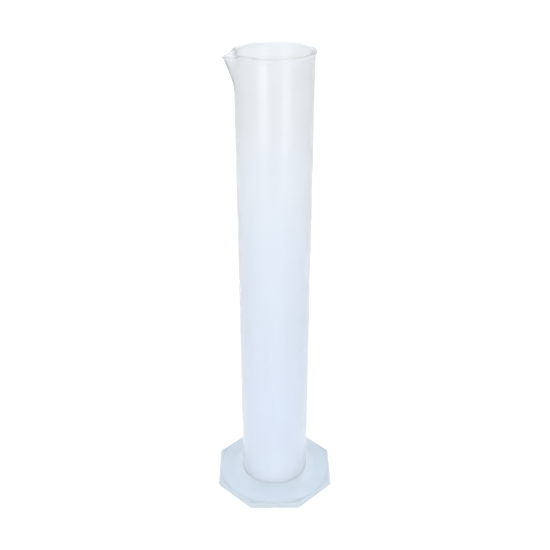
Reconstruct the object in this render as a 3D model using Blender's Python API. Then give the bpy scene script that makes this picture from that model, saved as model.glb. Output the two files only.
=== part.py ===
"""Measuring cylinder of translucent polypropylene, in two mouldings.

octagonal_foot   a low, hollow, eight-sided foot with a socket in its middle
measuring_tube   a tall tube with a closed bottom, a beaded rim and a pouring spout; it stands in the socket

Metres, +Z up, origin on the table under the middle of the foot. The foot's flats face +-X, +-Y and the
diagonals between them. Run it with: blender --background --python part.py
"""

import math

import bmesh
import bpy

# Whole object
HEIGHT = 0.360  # table to the top of the rim

# Tube
TUBE_TOP_RADIUS = 0.0275  # outside, just under the rim bead
TUBE_SEAT_RADIUS = 0.0270  # outside, at the bottom of the tube
WALL = 0.0022
BASE_THICKNESS = 0.0024  # of the tube's closed bottom
BASE_ARCH = 0.0012  # the bottom's middle stands this far above its standing ring
STANDING_RING_WIDTH = 0.0030
SEAT_CHAMFER = 0.0006  # round the tube's lower edge
FLOOR_FILLET = 0.0040  # inside, between the wall and the bottom

# Rim bead
BEAD_RADIUS = 0.00115  # of the bead's round section
BEAD_PROUD = 0.0011  # how far the bead stands out of the tube
LIP_ROUND = 0.0008  # inner corner of the lip

# Pouring spout
SPOUT_ANGLE = math.radians(193)  # the way it points, from +X
SPOUT_REACH = 0.0362  # axis to where the two flanks would meet, outside
SPOUT_HALF = math.radians(48.2)  # between each flank and the way the spout points
SPOUT_LIMIT = math.radians(40)  # nothing is pulled beyond this turn from the tip
SPOUT_LIP_HALF = math.radians(27)  # turn from the tip at which the spout's lip starts to drop
SPOUT_LIP_EVEN = 0.5  # share of that turn, next to the tip, over which the lip stays level
SPOUT_DEPTH = 0.0255  # how far down the tube the spout begins
SPOUT_DROP = 0.0024  # the lip is this much lower at the tip than the rim
SPOUT_TIP_BLUNT = 0.035  # radians of the tip's rounding, seen from the axis
SPOUT_FILLET = 0.0010  # between a flank and the round wall, fading out at the limit
BEAD_ON_SPOUT = 0.30  # share of the bead that is left along the spout
SPOUT_WALLS = 1.5  # the pull reaches this many wall thicknesses into the tube

# Foot
FOOT_WIDTH = 0.0949  # across flats, at the table
FOOT_DRAFT = 0.0003  # the skirt leans in by this much at its top
FOOT_EDGE_HEIGHT = 0.0047  # of the skirt
FOOT_COLLAR_HEIGHT = 0.0084  # where the cone meets the tube
FOOT_CONE_RADIUS = 0.0458  # the cone ends in a circle just inside the flats
FOOT_STEP = 0.0006  # from the cone's edge down to the eight-sided brim
FOOT_SKIN = 0.0020
FOOT_EDGE_ROUND = 0.0004

# Socket
SEAT_HEIGHT = 0.0022  # thickness of the ledge that the tube stands on
SEAT_GAP = 0.0003  # between the tube and the ledge
SOCKET_GAP = 0.00035  # between the tube and the socket's wall
SOCKET_WALL = 0.0021
LEDGE_INNER_RADIUS = 0.0200
MOUTH_CHAMFER = 0.0003

# Facets
SPOUT_SECTOR = math.radians(76)  # of finer facets, with the spout in its middle
SPOUT_STEPS = 28
PLAIN_STEPS = 44  # round the rest of the tube
FOOT_STEPS = 64  # a multiple of 16, so that the corners fall on facet edges
SPOUT_ROWS = 8
BEAD_STEPS = 6
BEAD_START = -75  # degrees, where the bead leaves the wall
LIP_STEPS = 2
FLOOR_STEPS = 3
SIDES = 8
SAME_PLACE = 1e-6  # points nearer than this are one
CREASE = math.radians(30)  # facets that meet at more than this stay sharp

TUBE_BASE = SEAT_HEIGHT + SEAT_GAP  # height of the tube's standing ring


def clear_scene():
    """Removes what the startup file holds."""
    for thing in list(bpy.data.objects):
        bpy.data.objects.remove(thing, do_unlink=True)


def plastic(name, colour, roughness):
    """A plain Principled material."""
    material = bpy.data.materials.new(name)
    material.use_nodes = True
    shader = material.node_tree.nodes["Principled BSDF"]
    shader.inputs["Base Color"].default_value = (*colour, 1.0)
    shader.inputs["Roughness"].default_value = roughness
    shader.inputs["Metallic"].default_value = 0.0
    return material


def arc(centre, radius, start, end, steps):
    """Points (radius, height) along an arc, angles in degrees from straight outwards, ends included."""
    turns = [math.radians(start + (end - start) * i / steps) for i in range(steps + 1)]
    return [(centre[0] + radius * math.cos(t), centre[1] + radius * math.sin(t)) for t in turns]


def spin(mesh, profile, start, sectors, closed):
    """Turns a profile of (radius, height) points about Z, by one (angle, steps) sector after another."""
    points = [mesh.verts.new((r * math.cos(start), r * math.sin(start), z)) for r, z in profile]
    edges = [mesh.edges.new(pair) for pair in zip(points, points[1:])]
    if closed:
        edges.append(mesh.edges.new((points[-1], points[0])))
    swept = points + edges
    for angle, steps in sectors:
        made = bmesh.ops.spin(mesh, geom=swept, axis=(0, 0, 1), cent=(0, 0, 0), angle=angle, steps=steps)
        swept = made["geom_last"]
    bmesh.ops.remove_doubles(mesh, verts=mesh.verts, dist=SAME_PLACE)
    bmesh.ops.recalc_face_normals(mesh, faces=mesh.faces)


def node(name, mesh, material, parent, height=0.0):
    """Makes an object from a bmesh drawn in its place, with its origin on the Z axis at this height."""
    bmesh.ops.translate(mesh, verts=mesh.verts, vec=(0, 0, -height))
    data = bpy.data.meshes.new(name)
    mesh.to_mesh(data)
    mesh.free()
    data.materials.append(material)
    data.shade_smooth()
    data.set_sharp_from_angle(angle=CREASE)
    made = bpy.data.objects.new(name, data)
    bpy.context.scene.collection.objects.link(made)
    made.parent = parent
    made.location = (0, 0, height)
    return made


def tube_radius(height):
    """The tube's outside radius, which narrows evenly towards the foot."""
    share = (height - TUBE_BASE) / (HEIGHT - TUBE_BASE)
    return TUBE_SEAT_RADIUS + (TUBE_TOP_RADIUS - TUBE_SEAT_RADIUS) * share


def tube_profile():
    """Closed outline of the tube from its middle underneath, up the outside, over the rim and down inside."""
    ring_outer = TUBE_SEAT_RADIUS - SEAT_CHAMFER
    ring_inner = ring_outer - STANDING_RING_WIDTH
    spout_heights = [HEIGHT - SPOUT_DEPTH * (1 - i / SPOUT_ROWS) for i in range(SPOUT_ROWS)]
    bead_centre = (tube_radius(HEIGHT) + BEAD_PROUD - BEAD_RADIUS, HEIGHT - BEAD_RADIUS)
    floor_height = TUBE_BASE + BASE_ARCH + BASE_THICKNESS
    inner_foot = tube_radius(floor_height) - WALL - FLOOR_FILLET
    lip_centre = (tube_radius(HEIGHT) - WALL + LIP_ROUND, HEIGHT - LIP_ROUND)

    underside = [
        (0.0, TUBE_BASE + BASE_ARCH),
        (ring_inner - BASE_ARCH, TUBE_BASE + BASE_ARCH),
        (ring_inner, TUBE_BASE),
        (ring_outer, TUBE_BASE),
    ]
    outside = [(TUBE_SEAT_RADIUS, TUBE_BASE + SEAT_CHAMFER)]
    outside += [(tube_radius(z), z) for z in spout_heights]
    bead = arc(bead_centre, BEAD_RADIUS, BEAD_START, 90, BEAD_STEPS)
    lip = arc(lip_centre, LIP_ROUND, 90, 180, LIP_STEPS)
    inside = [(tube_radius(z) - WALL, z) for z in reversed(spout_heights)]
    floor = arc((inner_foot, floor_height + FLOOR_FILLET), FLOOR_FILLET, 0, -90, FLOOR_STEPS)
    return underside + outside + bead + lip + inside + floor + [(0.0, floor_height)]


def pull_spout(mesh):
    """Pulls the top of the tube out into the spout: a V of straight flanks from the round wall to the tip."""
    for point in mesh.verts:
        radius = math.hypot(point.co.x, point.co.y)
        below_rim = max(HEIGHT - point.co.z, 0.0)
        wall = tube_radius(point.co.z)
        turn = abs(math.remainder(math.atan2(point.co.y, point.co.x) - SPOUT_ANGLE, math.tau))
        if below_rim >= SPOUT_DEPTH or radius < wall - SPOUT_WALLS * WALL or turn >= SPOUT_LIMIT:
            continue
        grown = 1 - below_rim / SPOUT_DEPTH
        inward = wall - radius if radius < wall else (wall - radius) * BEAD_ON_SPOUT
        reach = wall + (SPOUT_REACH - wall) * grown
        flank_turn = SPOUT_HALF + math.hypot(turn, SPOUT_TIP_BLUNT)
        flank = (reach * math.sin(SPOUT_HALF) - inward) / math.sin(flank_turn)
        pulled = smooth_max(radius, flank, SPOUT_FILLET * (1 - turn / SPOUT_LIMIT))
        point.co.x *= pulled / radius
        point.co.y *= pulled / radius
        point.co.z -= SPOUT_DROP * grown * smooth_step((1 - turn / SPOUT_LIP_HALF) / (1 - SPOUT_LIP_EVEN))


def smooth_max(a, b, width):
    """The larger of two lengths, with a fillet where they are nearer to each other than the width."""
    overlap = max(width - abs(a - b), 0.0) / width
    return max(a, b) + overlap * overlap * width / 4


def smooth_step(share):
    """Eases from 0 to 1 as the share goes from 0 to 1."""
    share = min(max(share, 0.0), 1.0)
    return share * share * (3 - 2 * share)


def measuring_tube(material, parent):
    """The tube with its bottom, rim bead and spout, in one moulding."""
    mesh = bmesh.new()
    start = SPOUT_ANGLE - SPOUT_SECTOR / 2
    sectors = [(SPOUT_SECTOR, SPOUT_STEPS), (math.tau - SPOUT_SECTOR, PLAIN_STEPS)]
    spin(mesh, tube_profile(), start, sectors, closed=False)
    pull_spout(mesh)
    return node("measuring_tube", mesh, material, parent, TUBE_BASE)


def foot_outlines():
    """The foot's closed outline in two runs: the round part, and the brim that becomes eight-sided."""
    socket = TUBE_SEAT_RADIUS + SOCKET_GAP
    collar = socket + SOCKET_WALL
    half = FOOT_WIDTH / 2
    brim_height = FOOT_EDGE_HEIGHT
    cone_height = brim_height + FOOT_STEP
    under_cone = cone_height - FOOT_STEP - FOOT_SKIN
    under_collar = FOOT_COLLAR_HEIGHT - FOOT_SKIN
    round_part = [
        (FOOT_CONE_RADIUS - FOOT_SKIN, under_cone),
        (collar, under_collar),
        (collar, 0.0),
        (LEDGE_INNER_RADIUS, 0.0),
        (LEDGE_INNER_RADIUS, SEAT_HEIGHT),
        (socket, SEAT_HEIGHT),
        (socket, FOOT_COLLAR_HEIGHT - MOUTH_CHAMFER),
        (socket + MOUTH_CHAMFER, FOOT_COLLAR_HEIGHT),
        (FOOT_CONE_RADIUS, cone_height),
        (FOOT_CONE_RADIUS + FOOT_STEP / 2, brim_height),
    ]
    brim = [
        (half - FOOT_DRAFT - FOOT_EDGE_ROUND, brim_height),
        (half - FOOT_DRAFT, brim_height - FOOT_EDGE_ROUND),
        (half, 0.0),
        (half - FOOT_SKIN, 0.0),
        (half - FOOT_SKIN - FOOT_DRAFT, under_cone),
    ]
    return round_part, brim


def square_up(mesh, rings):
    """Moves these rings, each a (radius, height), from round to eight-sided, as wide across the flats."""
    side = math.tau / SIDES
    for point in mesh.verts:
        here = (math.hypot(point.co.x, point.co.y), point.co.z)
        if any(math.dist(here, ring) < SAME_PLACE for ring in rings):
            turn = math.remainder(math.atan2(point.co.y, point.co.x), side)
            point.co.x /= math.cos(turn)
            point.co.y /= math.cos(turn)


def octagonal_foot(material, parent):
    """The foot with its skirt, cone, socket and the ledge that the tube stands on, in one moulding."""
    mesh = bmesh.new()
    round_part, brim = foot_outlines()
    spin(mesh, round_part + brim, 0.0, [(math.tau, FOOT_STEPS)], closed=True)
    square_up(mesh, brim)
    return node("octagonal_foot", mesh, material, parent)


def main():
    clear_scene()
    polypropylene = plastic("polypropylene", (0.84, 0.89, 0.93), 0.3)
    polypropylene_foot = plastic("polypropylene_foot", (0.78, 0.85, 0.92), 0.32)
    whole = bpy.data.objects.new("measuring_cylinder", None)
    bpy.context.scene.collection.objects.link(whole)
    octagonal_foot(polypropylene_foot, whole)
    measuring_tube(polypropylene, whole)


main()
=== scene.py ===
"""Looks of the measuring cylinder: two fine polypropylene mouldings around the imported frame.

measuring_tube   tube, bottom, rim bead, spout and the raised scale, in one mesh
octagonal_foot   skirt, brim, cone and socket, in one mesh

Metres, +Z up, in the frame's own coordinates.
"""

import math

import bmesh
import bpy
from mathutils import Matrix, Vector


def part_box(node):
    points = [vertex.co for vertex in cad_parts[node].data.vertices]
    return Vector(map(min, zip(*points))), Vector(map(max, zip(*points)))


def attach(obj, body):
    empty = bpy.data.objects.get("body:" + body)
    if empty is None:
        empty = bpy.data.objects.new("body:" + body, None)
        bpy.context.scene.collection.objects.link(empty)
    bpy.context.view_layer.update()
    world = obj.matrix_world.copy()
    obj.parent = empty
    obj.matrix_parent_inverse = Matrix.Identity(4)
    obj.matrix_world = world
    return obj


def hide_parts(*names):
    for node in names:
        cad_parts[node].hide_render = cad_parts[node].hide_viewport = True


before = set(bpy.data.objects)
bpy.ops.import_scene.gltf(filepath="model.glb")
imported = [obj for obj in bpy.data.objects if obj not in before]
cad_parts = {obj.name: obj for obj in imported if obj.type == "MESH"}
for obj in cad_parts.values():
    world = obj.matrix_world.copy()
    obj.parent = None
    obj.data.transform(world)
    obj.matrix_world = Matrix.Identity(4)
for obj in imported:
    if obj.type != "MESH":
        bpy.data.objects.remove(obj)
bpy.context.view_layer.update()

MM = 0.001

# Places that come from the frame
TUBE_LOW, TUBE_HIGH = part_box("measuring_tube")
FOOT_LOW, FOOT_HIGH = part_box("octagonal_foot")
RIM = TUBE_HIGH.z
TUBE_BASE = TUBE_LOW.z
FOOT_HALF = FOOT_HIGH.x
COLLAR = FOOT_HIGH.z

# Tube
BEAD_PROUD = 1.1 * MM  # how far the bead stands out of the tube
TUBE_TOP_RADIUS = TUBE_HIGH.x - BEAD_PROUD
TUBE_SEAT_RADIUS = TUBE_TOP_RADIUS - 0.5 * MM
WALL = 2.2 * MM
BASE_THICKNESS = 2.4 * MM
BASE_ARCH = 1.2 * MM  # the bottom's middle stands this far above its standing ring
ARCH_SHOULDER = 0.35  # share of the arch's height at its edge
STANDING_RING_WIDTH = 3.0 * MM
SEAT_ROUND = 0.6 * MM
FLOOR_FILLET = 4.0 * MM
BEAD_RADIUS = 1.15 * MM
BEAD_FILLET = 0.5 * MM  # under the bead
BEAD_START = -75  # degrees, where the bead leaves the wall
LIP_ROUND = 0.8 * MM

# Spout
SPOUT_ANGLE = math.radians(193)  # the way it points, from +X
SPOUT_REACH = 36.2 * MM  # axis to where the two flanks would meet, outside
SPOUT_HALF = math.radians(48.2)  # between each flank and the way the spout points
SPOUT_LIMIT = math.radians(40)  # nothing is pulled beyond this turn from the tip
SPOUT_LIP_HALF = math.radians(27)  # turn from the tip at which the spout's lip starts to drop
SPOUT_LIP_EVEN = 0.5  # share of that turn, next to the tip, over which the lip stays level
SPOUT_DEPTH = 25.5 * MM  # how far down the tube the spout begins
SPOUT_DROP = 2.4 * MM  # the lip is this much lower at the tip than the rim
SPOUT_WALLS = 1.5  # the pull reaches this many wall thicknesses into the tube
SPOUT_TIP_BLUNT = 0.035  # radians of the tip's rounding, seen from the axis
SPOUT_FILLET = 1.0 * MM  # outside, between a flank and the round wall
SPOUT_INNER_FILLET = 2.0 * MM  # the same, inside
SPOUT_FADE = 0.25  # share of the limit over which the fillets fade out
BEAD_ON_SPOUT = 0.30  # share of the bead that is left along the spout

# Foot
FOOT_DRAFT = 0.3 * MM  # the skirt leans in by this much at its top
FOOT_EDGE_HEIGHT = 4.7 * MM
FOOT_CONE_RADIUS = 45.8 * MM
FOOT_STEP = 0.6 * MM  # from the cone's edge down to the eight-sided brim
FOOT_SKIN = 2.0 * MM
FOOT_EDGE_ROUND = 0.6 * MM
FOOT_LOWER_ROUND = 0.35 * MM
FOOT_CORNER_ROUND = 1.2 * MM
COLLAR_FILLET = 1.2 * MM  # underneath, between the cone and the socket's wall
COLLAR_DIP = 0.3 * MM  # extra skin under the collar
SEAT_HEIGHT = 2.2 * MM
SOCKET_GAP = 0.06 * MM
SOCKET_WALL = 2.1 * MM
LEDGE_INNER_RADIUS = 20.0 * MM
MOUTH_ROUND = 0.12 * MM
SIDES = 8

# Scale
SCALE_ANGLE = math.radians(-76)  # left ends of the lines, from +X
SCALE_TOP = 500  # millilitres
SCALE_STEP = 5
NUMBER_STEP = 50
SCALE_START = 25
LINE_HEIGHT = 0.45 * MM
LINE_FACE = 0.75  # share of a line's height that is left on its face
LINE_FACET = 1.0 * MM
LINE_LENGTHS = ((50, 11.0 * MM), (25, 8.5 * MM), (5, 6.0 * MM))  # by what divides the volume
RELIEF = 0.07 * MM  # how far lines and numbers stand out of the tube
RELIEF_ROOT = 0.3 * MM  # how deep they start inside the wall
NUMBER_SIZE = 5.0 * MM
NUMBER_GAP = 1.6 * MM

# Plastic. Colours and clearness are (height, value) stops.
# Tube colours by height: partly the plastic's blue-grey tint, partly painted light; the lowest stops are
# painted lighter to lift the shade near the foot.
TUBE_TINT_AND_PAINTED_LIGHT = (
    (10 * MM, (0.81, 0.86, 0.94)),
    (30 * MM, (0.765, 0.83, 0.925)),
    (60 * MM, (0.735, 0.795, 0.895)),
    (140 * MM, (0.75, 0.805, 0.885)),
    (265 * MM, (0.82, 0.855, 0.895)),
    (335 * MM, (0.82, 0.838, 0.852)),
    (357 * MM, (0.80, 0.825, 0.85)),
)
TUBE_CLEARNESS = ((20 * MM, 0.5), (140 * MM, 0.58), (265 * MM, 0.7), (340 * MM, 0.77))
# Foot colours by height: the plastic's tint, with painted shade and painted light.
FOOT_TINT_PAINTED_SHADE_AND_LIGHT = (
    # painted shade: the skirt below the brim, darker for the shadowed hollow under the foot
    (4.0 * MM, (0.53, 0.59, 0.64)),
    (4.7 * MM, (0.64, 0.725, 0.815)),
    (7.8 * MM, (0.64, 0.725, 0.815)),
    # painted light: the cone next to the socket, lighter to lift the shade where it meets the tube
    (8.4 * MM, (0.80, 0.88, 0.95)),
)
FOOT_CLEARNESS = 0.4
PLASTIC_IOR = 1.3
SCATTER_SHARE = 0.3
SCATTER_DEPTH = 5 * MM
COAT_SHARE = 0.35
COAT_ROUGHNESS = 0.06
COAT_IOR = 1.5
FLOW_SCALE = (60, 60, 9)  # flow marks are drawn out along the tube
FLOW_DETAIL = 3.0
FLOW_SHADE = (0.975, 1.02)
FLOW_ROUGHNESS = (0.26, 0.38)
GRAIN_SCALE = 900
GRAIN_DETAIL = 2.0
GRAIN_STRENGTH = 0.08
GRAIN_HEIGHT = 0.05 * MM
DEPTH_COLOUR = (0.0, 0.1, 0.2, 1)
DEPTH_DENSITY = 5.0

# Stage, in metres
FLOOR_REACH = 6.0
FLOOR_GREY = 0.3
FLOOR_ROUGHNESS = 0.9
FLOOR_GLOW = 0.82
SURROUND_STRENGTH = 1.24
PANELS = (("panel_left", -33, 0.36), ("panel_right", 32, 0.33))  # name, azimuth in degrees, width
PANEL_DISTANCE = 0.8
PANEL_LOW = 0.012
PANEL_HIGH = 0.7
PANEL_RADIANCE = 2.3

# Camera
SENSOR_WIDTH = 36  # millimetres
LENS = 53.84  # millimetres
CLIP_START = 10 * MM
CAMERA_DISTANCE = 551.85 * MM
CAMERA_HEIGHT = 484.09 * MM
CAMERA_AROUND = math.radians(0.42)  # left of the object's front
CAMERA_DOWN = math.radians(27.99)
CAMERA_YAW = math.radians(-0.46)

# Facets
SPOUT_SECTOR = math.radians(76)
SPOUT_STEPS = 120
PLAIN_STEPS = 170
SPOUT_ROWS = 30
WALL_ROWS = 40
ARC_STEPS = 10
FLAT_STEPS = 16
CORNER_STEPS = 6
SAME_PLACE = 1e-7
CREASE = math.radians(32)


# ---------------------------------------------------------------- mesh helpers

def arc(centre, radius, start, end, steps=ARC_STEPS):
    """Points (radius, height) along an arc, angles in degrees from straight outwards, ends included."""
    turns = [math.radians(start + (end - start) * i / steps) for i in range(steps + 1)]
    return [(centre[0] + radius * math.cos(t), centre[1] + radius * math.sin(t)) for t in turns]


def lathe(profile, turns, closed, bend=None):
    """A bmesh of the (radius, height) profile at each of the turns. bend may change a radius by turn."""
    mesh = bmesh.new()
    columns = []
    for turn in turns:
        column = []
        for index, (radius, height) in enumerate(profile):
            r = bend(index, radius, turn) if bend else radius
            column.append(mesh.verts.new((r * math.cos(turn), r * math.sin(turn), height)))
        columns.append(column)
    rows = len(profile) if closed else len(profile) - 1
    for here, there in zip(columns, columns[1:] + columns[:1]):
        for row in range(rows):
            after = (row + 1) % len(profile)
            mesh.faces.new((here[row], there[row], there[after], here[after]))
    bmesh.ops.remove_doubles(mesh, verts=mesh.verts, dist=SAME_PLACE)
    bmesh.ops.recalc_face_normals(mesh, faces=mesh.faces)
    return mesh


def make(name, mesh):
    """A smooth-shaded object from a bmesh."""
    data = bpy.data.meshes.new(name)
    mesh.to_mesh(data)
    mesh.free()
    data.shade_smooth()
    data.set_sharp_from_angle(angle=CREASE)
    made = bpy.data.objects.new(name, data)
    bpy.context.scene.collection.objects.link(made)
    return made


def apply_modifiers(thing):
    """Bakes the object's modifiers into its mesh."""
    graph = bpy.context.evaluated_depsgraph_get()
    data = bpy.data.meshes.new_from_object(thing.evaluated_get(graph))
    thing.modifiers.clear()
    thing.data = data


# ---------------------------------------------------------------- tube

def tube_radius(height):
    """Outside radius of the tube, which narrows evenly towards the foot."""
    share = (height - TUBE_BASE) / (RIM - TUBE_BASE)
    return TUBE_SEAT_RADIUS + (TUBE_TOP_RADIUS - TUBE_SEAT_RADIUS) * share


def tube_profile():
    """Open outline from the middle underneath, up the outside, over the rim and down to the floor."""
    ring_outer = TUBE_SEAT_RADIUS - SEAT_ROUND
    ring_inner = ring_outer - STANDING_RING_WIDTH
    floor_height = TUBE_BASE + BASE_ARCH + BASE_THICKNESS
    inner_foot = tube_radius(floor_height) - WALL - FLOOR_FILLET
    spout_low = RIM - SPOUT_DEPTH
    wall_low = floor_height + FLOOR_FILLET
    wall_rows = [wall_low + (spout_low - wall_low) * i / WALL_ROWS for i in range(WALL_ROWS)]
    spout_top = RIM - 2 * BEAD_RADIUS - BEAD_FILLET
    spout_rows = [spout_low + (spout_top - spout_low) * i / SPOUT_ROWS for i in range(SPOUT_ROWS + 1)]
    bead_centre = (TUBE_TOP_RADIUS + BEAD_PROUD - BEAD_RADIUS, RIM - BEAD_RADIUS)
    lip_centre = (TUBE_TOP_RADIUS - WALL + LIP_ROUND, RIM - LIP_ROUND)
    underside = [(0.0, TUBE_BASE + BASE_ARCH), (ring_inner - 2 * BASE_ARCH, TUBE_BASE + BASE_ARCH)]
    underside += [(ring_inner - BASE_ARCH, TUBE_BASE + ARCH_SHOULDER * BASE_ARCH), (ring_inner, TUBE_BASE)]
    seat = arc((ring_outer, TUBE_BASE + SEAT_ROUND), SEAT_ROUND, -90, 0)
    outside = [(tube_radius(z), z) for z in wall_rows + spout_rows]
    bead = arc(bead_centre, BEAD_RADIUS, BEAD_START, 90, 2 * ARC_STEPS)
    lip = arc(lip_centre, LIP_ROUND, 90, 180)
    inside = [(tube_radius(z) - WALL, z) for z in reversed(wall_rows + spout_rows)]
    floor = arc((inner_foot, floor_height + FLOOR_FILLET), FLOOR_FILLET, 0, -90)
    return underside + seat + outside + bead + lip + inside + floor + [(0.0, floor_height)]


def pull_spout(mesh):
    """Pulls the top of the tube out into the spout: a V of straight flanks from the round wall to the tip."""
    for point in mesh.verts:
        radius = math.hypot(point.co.x, point.co.y)
        below_rim = max(RIM - point.co.z, 0.0)
        wall = tube_radius(point.co.z)
        turn = abs(math.remainder(math.atan2(point.co.y, point.co.x) - SPOUT_ANGLE, math.tau))
        if below_rim >= SPOUT_DEPTH or radius < wall - SPOUT_WALLS * WALL or turn >= SPOUT_LIMIT:
            continue
        grown = 1 - below_rim / SPOUT_DEPTH
        inward = wall - radius if radius < wall else (wall - radius) * BEAD_ON_SPOUT
        reach = wall + (SPOUT_REACH - wall) * grown
        flank_turn = SPOUT_HALF + math.hypot(turn, SPOUT_TIP_BLUNT)
        flank = (reach * math.sin(SPOUT_HALF) - inward) / math.sin(flank_turn)
        fillet = SPOUT_INNER_FILLET if radius < wall else SPOUT_FILLET
        fade = min((1 - turn / SPOUT_LIMIT) / SPOUT_FADE, 1.0)
        pulled = smooth_max(radius, flank, fillet * fade)
        point.co.x *= pulled / radius
        point.co.y *= pulled / radius
        point.co.z -= SPOUT_DROP * grown * smooth_step((1 - turn / SPOUT_LIP_HALF) / (1 - SPOUT_LIP_EVEN))


def smooth_max(a, b, width):
    """The larger of two lengths, with a fillet where they are nearer to each other than the width."""
    overlap = max(width - abs(a - b), 0.0) / width
    return max(a, b) + overlap * overlap * width / 4


def smooth_step(share):
    """Eases from 0 to 1 as the share goes from 0 to 1."""
    share = min(max(share, 0.0), 1.0)
    return share * share * (3 - 2 * share)


def tube_turns():
    """Turns of the tube's columns: close together round the spout, wider apart elsewhere."""
    start = SPOUT_ANGLE - SPOUT_SECTOR / 2
    spout = [start + SPOUT_SECTOR * i / SPOUT_STEPS for i in range(SPOUT_STEPS)]
    rest = math.tau - SPOUT_SECTOR
    return spout + [start + SPOUT_SECTOR + rest * i / PLAIN_STEPS for i in range(PLAIN_STEPS)]


# ---------------------------------------------------------------- scale

def height_of(volume):
    """Height of the liquid's surface at a volume in millilitres, from the inside of the tube."""
    floor_height = TUBE_BASE + BASE_ARCH + BASE_THICKNESS
    mean_radius = tube_radius(floor_height + (RIM - floor_height) * volume / SCALE_TOP / 3) - WALL
    return floor_height + volume * 1e-6 / (math.pi * mean_radius ** 2)


def add_line(mesh, start, length, height):
    """One raised line, wrapped on the tube from a turn to the right."""
    steps = round(length / LINE_FACET)
    outer = tube_radius(height) + RELIEF
    inner = tube_radius(height) - RELIEF_ROOT
    half = LINE_HEIGHT / 2
    section = [(inner, -half), (outer, -half * LINE_FACE), (outer, half * LINE_FACE), (inner, half)]
    rings = []
    for i in range(steps + 1):
        turn = start + length * i / steps / tube_radius(height)
        ring = [mesh.verts.new((r * math.cos(turn), r * math.sin(turn), height + z)) for r, z in section]
        rings.append(ring)
    for here, there in zip(rings, rings[1:]):
        for k in range(4):
            mesh.faces.new((here[k], here[(k + 1) % 4], there[(k + 1) % 4], there[k]))
    mesh.faces.new(rings[0])
    mesh.faces.new(rings[-1])


def scale_lines():
    """All the lines of the scale as separate closed solids in one mesh."""
    mesh = bmesh.new()
    for volume in range(SCALE_START, SCALE_TOP + 1, SCALE_STEP):
        length = next(size for step, size in LINE_LENGTHS if volume % step == 0)
        add_line(mesh, SCALE_ANGLE, length, height_of(volume))
    bmesh.ops.recalc_face_normals(mesh, faces=mesh.faces)
    return make("scale_lines", mesh)


def scale_number(volume):
    """One number, wrapped on the tube to the right of its line."""
    curve = bpy.data.curves.new(f"number_{volume}", "FONT")
    curve.body = str(volume)
    curve.size = NUMBER_SIZE
    curve.align_y = "CENTER"
    curve.extrude = (RELIEF + RELIEF_ROOT) / 2
    text = bpy.data.objects.new(f"number_{volume}", curve)
    bpy.context.scene.collection.objects.link(text)
    graph = bpy.context.evaluated_depsgraph_get()
    data = bpy.data.meshes.new_from_object(text.evaluated_get(graph))
    bpy.data.objects.remove(text)
    height = height_of(volume)
    radius = tube_radius(height)
    start = SCALE_ANGLE + (LINE_LENGTHS[0][1] + NUMBER_GAP) / radius
    for point in data.vertices:
        turn = start + point.co.x / radius
        out = radius + point.co.z + (RELIEF - RELIEF_ROOT) / 2
        point.co = (out * math.cos(turn), out * math.sin(turn), height + point.co.y)
    mesh = bmesh.new()
    mesh.from_mesh(data)
    bmesh.ops.remove_doubles(mesh, verts=mesh.verts, dist=SAME_PLACE)
    bmesh.ops.recalc_face_normals(mesh, faces=mesh.faces)
    return make(f"number_{volume}", mesh)


def join(name, things):
    """One object from the meshes of several, which are removed."""
    mesh = bmesh.new()
    for thing in things:
        mesh.from_mesh(thing.data)
        bpy.data.objects.remove(thing)
    return make(name, mesh)


def measuring_tube():
    """The tube with its scale, as one closed mesh."""
    mesh = lathe(tube_profile(), tube_turns(), closed=False)
    pull_spout(mesh)
    tube = make("measuring_tube_moulding", mesh)
    numbers = [scale_number(volume) for volume in range(NUMBER_STEP, SCALE_TOP + 1, NUMBER_STEP)]
    relief = join("scale_relief", [scale_lines()] + numbers)
    union = tube.modifiers.new("scale", "BOOLEAN")
    union.operation = "UNION"
    union.solver = "EXACT"
    union.object = relief
    apply_modifiers(tube)
    bpy.data.objects.remove(relief)
    tube.data.set_sharp_from_angle(angle=CREASE)
    return tube


# ---------------------------------------------------------------- foot

def foot_turns():
    """Turns of the foot's columns: even along each flat, and close together round each corner."""
    side = math.tau / SIDES
    corner = corner_start(FOOT_HALF)
    turns = []
    for i in range(SIDES):
        middle = i * side
        turns += [middle - corner + 2 * corner * k / FLAT_STEPS for k in range(FLAT_STEPS)]
        turns += [middle + corner + (side - 2 * corner) * k / CORNER_STEPS for k in range(CORNER_STEPS)]
    return turns


def corner_start(half):
    """Turn from a flat's middle to where the corner's rounding begins."""
    return math.atan((half - FOOT_CORNER_ROUND) * math.tan(math.pi / SIDES) / half)


def eight_sided(half, turn):
    """Radius of the rounded octagon of this half width at a turn."""
    side = math.tau / SIDES
    off = abs(math.remainder(turn, side))
    if off <= corner_start(half):
        return half / math.cos(off)
    centre = (half - FOOT_CORNER_ROUND) / math.cos(side / 2)
    aside = side / 2 - off
    return centre * math.cos(aside) + math.sqrt(FOOT_CORNER_ROUND ** 2 - (centre * math.sin(aside)) ** 2)


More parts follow.
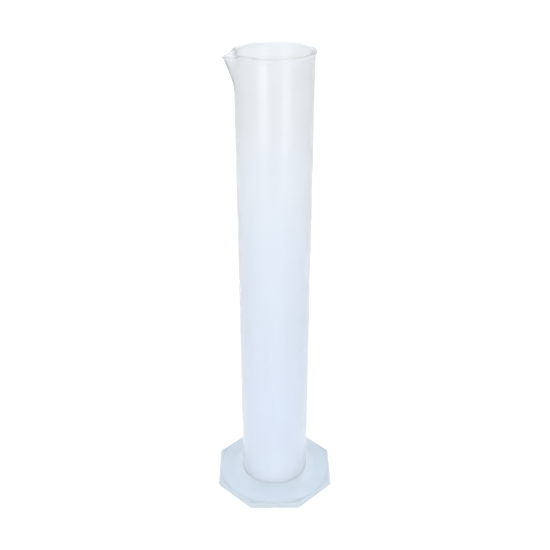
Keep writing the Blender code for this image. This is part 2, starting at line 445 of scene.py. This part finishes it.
def foot_profile():
    """The foot's closed outline in two runs: the round part, and the brim that is eight-sided."""
    socket = TUBE_SEAT_RADIUS + SOCKET_GAP
    collar = socket + SOCKET_WALL
    brim = FOOT_EDGE_HEIGHT
    under_brim = brim - FOOT_SKIN
    slope = math.atan2(COLLAR - brim - FOOT_STEP, FOOT_CONE_RADIUS - socket - MOUTH_ROUND)
    tilt = math.degrees(slope)
    mouth_centre = (socket + MOUTH_ROUND, COLLAR - MOUTH_ROUND)
    step_centre = (FOOT_CONE_RADIUS, brim + FOOT_STEP / 2)
    round_part = [(FOOT_CONE_RADIUS - FOOT_SKIN, under_brim)]
    round_part += [(collar + COLLAR_FILLET, COLLAR - FOOT_SKIN - COLLAR_DIP)]
    round_part += [(collar, COLLAR - FOOT_SKIN - COLLAR_FILLET)]
    round_part += [(collar, FOOT_LOWER_ROUND), (collar - FOOT_LOWER_ROUND, 0.0)]
    round_part += [(LEDGE_INNER_RADIUS + FOOT_LOWER_ROUND, 0.0), (LEDGE_INNER_RADIUS, FOOT_LOWER_ROUND)]
    round_part += [(LEDGE_INNER_RADIUS, SEAT_HEIGHT - FOOT_LOWER_ROUND)]
    round_part += [(LEDGE_INNER_RADIUS + FOOT_LOWER_ROUND, SEAT_HEIGHT)]
    round_part += [(socket, SEAT_HEIGHT)]
    round_part += arc(mouth_centre, MOUTH_ROUND, 180, 90 - tilt)
    round_part += arc(step_centre, FOOT_STEP / 2, 90 - tilt, 0)
    round_part += arc((FOOT_CONE_RADIUS + FOOT_STEP, brim + FOOT_STEP / 2), FOOT_STEP / 2, 180, 270)[1:]
    half = FOOT_HALF
    top_centre = (half - FOOT_DRAFT - FOOT_EDGE_ROUND, brim - FOOT_EDGE_ROUND)
    low_centre = (half - FOOT_LOWER_ROUND, FOOT_LOWER_ROUND)
    squared = arc(top_centre, FOOT_EDGE_ROUND, 90, 0)
    squared += arc(low_centre, FOOT_LOWER_ROUND, 0, -90)
    squared += [(half - FOOT_SKIN, 0.0), (half - FOOT_SKIN - FOOT_DRAFT, under_brim)]
    return round_part, squared


def octagonal_foot():
    """The foot, as one closed mesh."""
    round_part, squared = foot_profile()

    def bend(index, radius, turn):
        return radius if index < len(round_part) else eight_sided(radius, turn)

    return make("octagonal_foot_moulding", lathe(round_part + squared, foot_turns(), closed=True, bend=bend))


# ---------------------------------------------------------------- plastic

def by_height(nodes, links, height, stops):
    """A ramp node whose colour follows the height, from (height, colour) stops."""
    ramp = nodes.new("ShaderNodeValToRGB")
    for place, colour in stops:
        ramp.color_ramp.elements.new(place / RIM).color = (*colour, 1)
    ramp.color_ramp.elements.remove(ramp.color_ramp.elements[0])
    ramp.color_ramp.elements.remove(ramp.color_ramp.elements[-1])
    links.new(height, ramp.inputs["Fac"])
    return ramp


def polypropylene(name, colours):
    """Milky polypropylene: colour by height, which carries painted light and shade as well as the tint, faint
    flow marks, satin skin. Also gives its height output.
    """
    material = bpy.data.materials.new(name)
    material.use_nodes = True
    nodes, links = material.node_tree.nodes, material.node_tree.links
    shader = nodes["Principled BSDF"]
    shader.inputs["IOR"].default_value = PLASTIC_IOR
    shader.inputs["Subsurface Weight"].default_value = SCATTER_SHARE
    shader.inputs["Subsurface Radius"].default_value = (1.0, 1.0, 1.0)
    shader.inputs["Subsurface Scale"].default_value = SCATTER_DEPTH
    shader.inputs["Coat Weight"].default_value = COAT_SHARE
    shader.inputs["Coat Roughness"].default_value = COAT_ROUGHNESS
    shader.inputs["Coat IOR"].default_value = COAT_IOR

    place = nodes.new("ShaderNodeTexCoord")
    split = nodes.new("ShaderNodeSeparateXYZ")
    links.new(place.outputs["Object"], split.inputs[0])
    rise = nodes.new("ShaderNodeMapRange")
    rise.inputs["From Max"].default_value = RIM
    links.new(split.outputs["Z"], rise.inputs["Value"])
    tint = by_height(nodes, links, rise.outputs[0], colours)

    flow_place = nodes.new("ShaderNodeMapping")
    flow_place.inputs["Scale"].default_value = FLOW_SCALE
    links.new(place.outputs["Object"], flow_place.inputs["Vector"])
    flow = nodes.new("ShaderNodeTexNoise")
    flow.inputs["Scale"].default_value = 1.0
    flow.inputs["Detail"].default_value = FLOW_DETAIL
    links.new(flow_place.outputs[0], flow.inputs["Vector"])

    cloud = nodes.new("ShaderNodeMapRange")
    cloud.inputs["To Min"].default_value, cloud.inputs["To Max"].default_value = FLOW_SHADE
    links.new(flow.outputs["Fac"], cloud.inputs["Value"])
    shade = nodes.new("ShaderNodeVectorMath")
    shade.operation = "SCALE"
    links.new(tint.outputs["Color"], shade.inputs[0])
    links.new(cloud.outputs[0], shade.inputs["Scale"])
    links.new(shade.outputs[0], shader.inputs["Base Color"])

    grain = nodes.new("ShaderNodeTexNoise")
    grain.inputs["Scale"].default_value = GRAIN_SCALE
    grain.inputs["Detail"].default_value = GRAIN_DETAIL
    links.new(place.outputs["Object"], grain.inputs["Vector"])
    gloss = nodes.new("ShaderNodeMapRange")
    gloss.inputs["To Min"].default_value, gloss.inputs["To Max"].default_value = FLOW_ROUGHNESS
    links.new(flow.outputs["Fac"], gloss.inputs["Value"])
    links.new(gloss.outputs[0], shader.inputs["Roughness"])
    skin = nodes.new("ShaderNodeBump")
    skin.inputs["Strength"].default_value = GRAIN_STRENGTH
    skin.inputs["Distance"].default_value = GRAIN_HEIGHT
    links.new(grain.outputs["Fac"], skin.inputs["Height"])
    links.new(skin.outputs[0], shader.inputs["Normal"])

    depth = nodes.new("ShaderNodeVolumeAbsorption")
    depth.inputs["Color"].default_value = DEPTH_COLOUR
    depth.inputs["Density"].default_value = DEPTH_DENSITY
    links.new(depth.outputs[0], nodes["Material Output"].inputs["Volume"])
    return material, rise.outputs[0]


def tube_plastic():
    """The tube's plastic, milkier towards the bottom."""
    material, height = polypropylene("tube_polypropylene", TUBE_TINT_AND_PAINTED_LIGHT)
    nodes, links = material.node_tree.nodes, material.node_tree.links
    clear = by_height(nodes, links, height, [(z, (share,) * 3) for z, share in TUBE_CLEARNESS])
    links.new(clear.outputs["Color"], nodes["Principled BSDF"].inputs["Transmission Weight"])
    return material


def foot_plastic():
    """The foot's plastic, evenly milky, with painted shade on the skirt and painted light on the cone beside
    the socket.
    """
    material, _ = polypropylene("foot_polypropylene", FOOT_TINT_PAINTED_SHADE_AND_LIGHT)
    shader = material.node_tree.nodes["Principled BSDF"]
    shader.inputs["Transmission Weight"].default_value = FOOT_CLEARNESS
    return material


def dress(piece, material, body, node):
    """Gives a piece its material and its place in the frame."""
    piece.data.materials.clear()
    piece.data.materials.append(material)
    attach(piece, body)
    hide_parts(node)


# ---------------------------------------------------------------- stage

def stage():
    """A wide pale floor under an even white surround, with two upright soft panels beside the camera."""
    mesh = bmesh.new()
    bmesh.ops.create_grid(mesh, x_segments=1, y_segments=1, size=FLOOR_REACH)
    floor = make("floor", mesh)
    paint = bpy.data.materials.new("floor_paint")
    paint.use_nodes = True
    shader = paint.node_tree.nodes["Principled BSDF"]
    shader.inputs["Base Color"].default_value = (FLOOR_GREY, FLOOR_GREY, FLOOR_GREY, 1)
    shader.inputs["Roughness"].default_value = FLOOR_ROUGHNESS
    shader.inputs["Emission Color"].default_value = (1, 1, 1, 1)
    shader.inputs["Emission Strength"].default_value = FLOOR_GLOW
    floor.data.materials.append(paint)

    world = bpy.data.worlds.new("surround")
    world.use_nodes = True
    light = world.node_tree.nodes["Background"]
    light.inputs["Color"].default_value = (1, 1, 1, 1)
    light.inputs["Strength"].default_value = SURROUND_STRENGTH
    bpy.context.scene.world = world

    for name, azimuth, width in PANELS:
        add_panel(name, math.radians(azimuth), width)


def add_panel(name, azimuth, width):
    """An upright rectangular soft light that faces the object, at this turn to the right of its front."""
    tall = PANEL_HIGH - PANEL_LOW
    light = bpy.data.lights.new(name, "AREA")
    light.shape = "RECTANGLE"
    light.size = width
    light.size_y = tall
    light.energy = PANEL_RADIANCE * math.pi * width * tall
    across, towards = PANEL_DISTANCE * math.sin(azimuth), -PANEL_DISTANCE * math.cos(azimuth)
    panel = bpy.data.objects.new(name, light)
    panel.location = (across, towards, (PANEL_LOW + PANEL_HIGH) / 2)
    panel.rotation_euler = (math.pi / 2, 0, azimuth)
    bpy.context.scene.collection.objects.link(panel)


def camera():
    """The camera, in front of the object and looking down at it."""
    data = bpy.data.cameras.new("camera")
    data.sensor_width = SENSOR_WIDTH
    data.lens = LENS
    data.clip_start = CLIP_START
    lens = bpy.data.objects.new("camera", data)
    across, towards = -CAMERA_DISTANCE * math.sin(CAMERA_AROUND), -CAMERA_DISTANCE * math.cos(CAMERA_AROUND)
    lens.location = (across, towards, CAMERA_HEIGHT)
    lens.rotation_euler = (math.pi / 2 - CAMERA_DOWN, 0, CAMERA_YAW)
    bpy.context.scene.collection.objects.link(lens)
    bpy.context.scene.camera = lens


def main():
    tube = measuring_tube()
    foot = octagonal_foot()
    dress(tube, tube_plastic(), "tube", "measuring_tube")
    dress(foot, foot_plastic(), "foot", "octagonal_foot")
    stage()
    camera()
    bpy.context.scene.view_settings.view_transform = "Standard"
    bpy.context.scene.view_settings.look = "None"


main()
